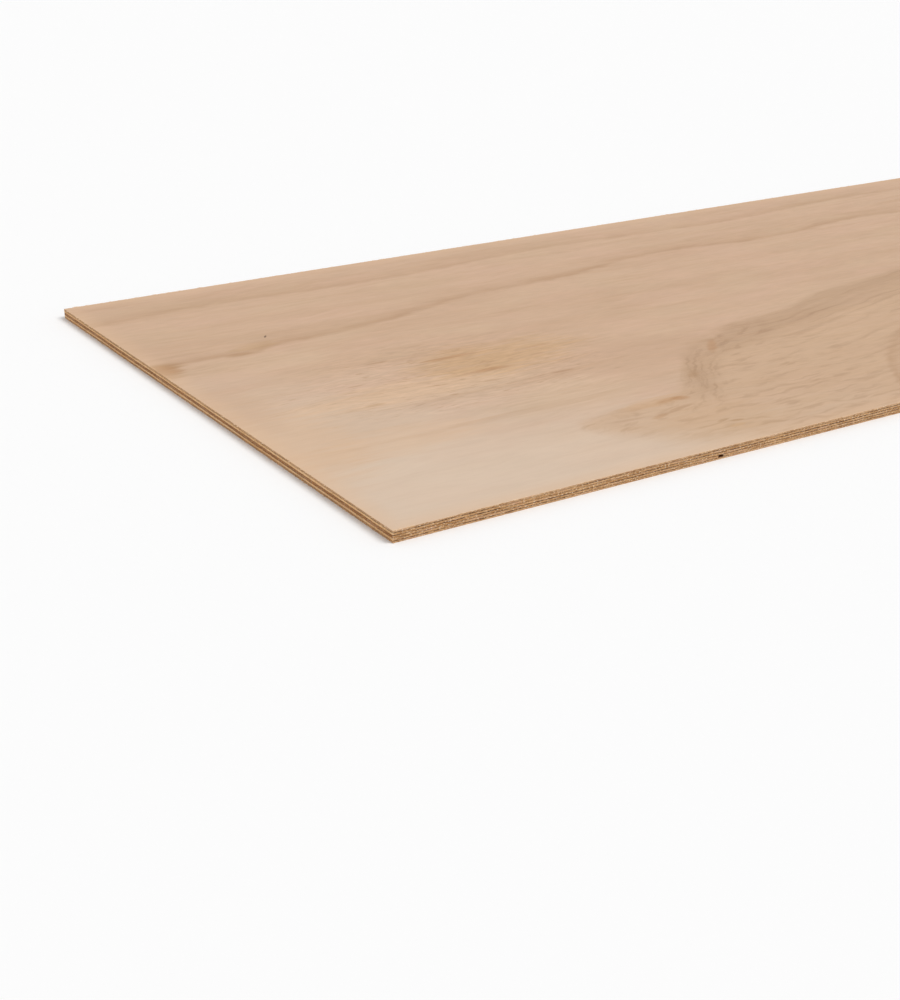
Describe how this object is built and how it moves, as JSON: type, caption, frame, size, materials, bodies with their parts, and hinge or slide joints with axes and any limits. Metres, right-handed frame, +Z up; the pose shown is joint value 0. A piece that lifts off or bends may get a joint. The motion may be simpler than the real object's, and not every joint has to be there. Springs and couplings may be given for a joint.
{
  "type": "plywood sheet",
  "caption": "Flat rectangular plywood sheet of pine veneers laid with crossing grain, with square sawn edges that show the plies; cut up or fixed flat as lining, sheathing, shelving and panels.",
  "frame": {"origin": "centre of the sheet's underside", "axes": "+X along the face grain and the sheet's length, +Y across the sheet, +Z up out of the better face"},
  "size_m": [1.22, 0.61, 0.009],
  "materials": {
    "face_veneer": "sanded rotary-cut pine, unfinished",
    "back_veneer": "lightly sanded rotary-cut pine, unfinished",
    "core_veneer": "sawn pine, unfinished",
    "crossband": "sawn pine, unfinished"
  },
  "bodies": {
    "root": {"back_veneer": "back_veneer", "lower_crossband_end_strip": "crossband", "lower_crossband_main_strip": "crossband", "core_veneer": "core_veneer", "upper_crossband": "crossband", "face_veneer": "face_veneer"}
  },
  "joints": []
}
